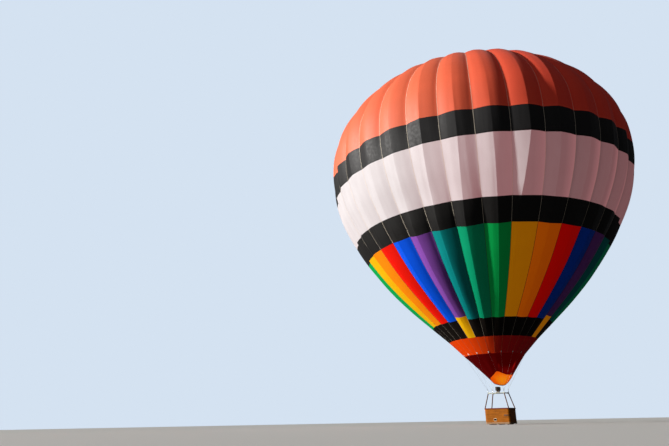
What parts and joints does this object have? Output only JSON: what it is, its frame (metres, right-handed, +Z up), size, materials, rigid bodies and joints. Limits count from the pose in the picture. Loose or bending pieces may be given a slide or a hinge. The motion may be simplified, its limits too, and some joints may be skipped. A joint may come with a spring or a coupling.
{
  "type": "hot air balloon",
  "caption": "Hot air balloon with a lobed fabric envelope, parachute valve, scoop, flying wires, load frame with gimballed twin burner, and a wicker basket on skids.",
  "frame": {"origin": "on the balloon's vertical axis, in the middle of the envelope's widest circle, 19.4 m above the underside of the skids, where the air holds the balloon up", "axes": "+Z up along the envelope's axis; -Y is the front, which the picture shows; the basket is turned 20 degrees clockwise about +Z from above"},
  "size_m": [22.6132, 22.6132, 27.7043],
  "materials": {
    "crown_fabric": "coated ripstop nylon, orange",
    "black_fabric": "coated ripstop nylon, black",
    "white_fabric": "coated ripstop nylon, white",
    "rainbow_fabric": "coated ripstop nylon in eight colours, one to a gore",
    "mouth_fabric": "heat-resistant fabric, red-orange",
    "scoop_fabric": "heat-resistant fabric, dark red",
    "tape_webbing": "woven load tape, undyed",
    "wire_steel": "stranded stainless steel wire and forged links",
    "wicker": "woven willow cane, varnished",
    "rim_leather": "padded red-brown leather",
    "cover_leather": "laced brown leather cover",
    "timber": "varnished marine plywood and hardwood",
    "frame_metal": "light grey-green powder coat",
    "gimbal_steel": "brushed stainless steel",
    "burner_steel": "heat-stained stainless steel",
    "cylinder_aluminium": "brushed aluminium"
  },
  "bodies": {
    "root": {"vent_collar": "crown_fabric", "upper_crown": "crown_fabric", "middle_crown": "crown_fabric", "high_crown": "crown_fabric", "lower_crown": "crown_fabric", "upper_black_band": "black_fabric", "middle_black_band": "black_fabric", "lower_black_band": "black_fabric", "upper_white_band": "white_fabric", "lower_white_band": "white_fabric", "upper_rainbow_band": "rainbow_fabric", "lower_rainbow_band": "rainbow_fabric", "mouth_band": "mouth_fabric", "scoop": "scoop_fabric", "vent_tapes": "tape_webbing", "basket_wall": "wicker", "rim_padding": "rim_leather", "basket_floor": "timber", "skid_left": "timber", "skid_middle": "timber", "skid_right": "timber", "load_frame": "frame_metal", "upright_front_left": "cover_leather", "flying_wires_front_left": "wire_steel", "karabiner_front_left": "wire_steel", "fuel_cylinder_front_left": "cylinder_aluminium", "upright_front_right": "cover_leather", "flying_wires_front_right": "wire_steel", "karabiner_front_right": "wire_steel", "fuel_cylinder_front_right": "cylinder_aluminium", "upright_back_right": "cover_leather", "flying_wires_back_right": "wire_steel", "karabiner_back_right": "wire_steel", "fuel_cylinder_back_right": "cylinder_aluminium", "upright_back_left": "cover_leather", "flying_wires_back_left": "wire_steel", "karabiner_back_left": "wire_steel", "fuel_cylinder_back_left": "cylinder_aluminium"},
    "valve": {"parachute_valve": "crown_fabric"},
    "gimbal": {"gimbal_ring": "gimbal_steel"},
    "burner": {"burner_block": "burner_steel", "burner_can_front": "burner_steel", "burner_can_back": "burner_steel"}
  },
  "joints": [
    {"name": "valve_slide", "type": "slide", "parent": "root", "child": "valve", "axis": [0, 0, -1], "range_m": [0, 1.2]},
    {"name": "gimbal_roll", "type": "hinge", "parent": "root", "child": "gimbal", "pos_m": [0, 0, -17.3], "axis": [0.9397, -0.342, 0], "range_deg": [-15, 15]},
    {"name": "burner_pitch", "type": "hinge", "parent": "gimbal", "child": "burner", "pos_m": [0, 0, -17.3], "axis": [0.342, 0.9397, 0], "range_deg": [-15, 15]}
  ]
}
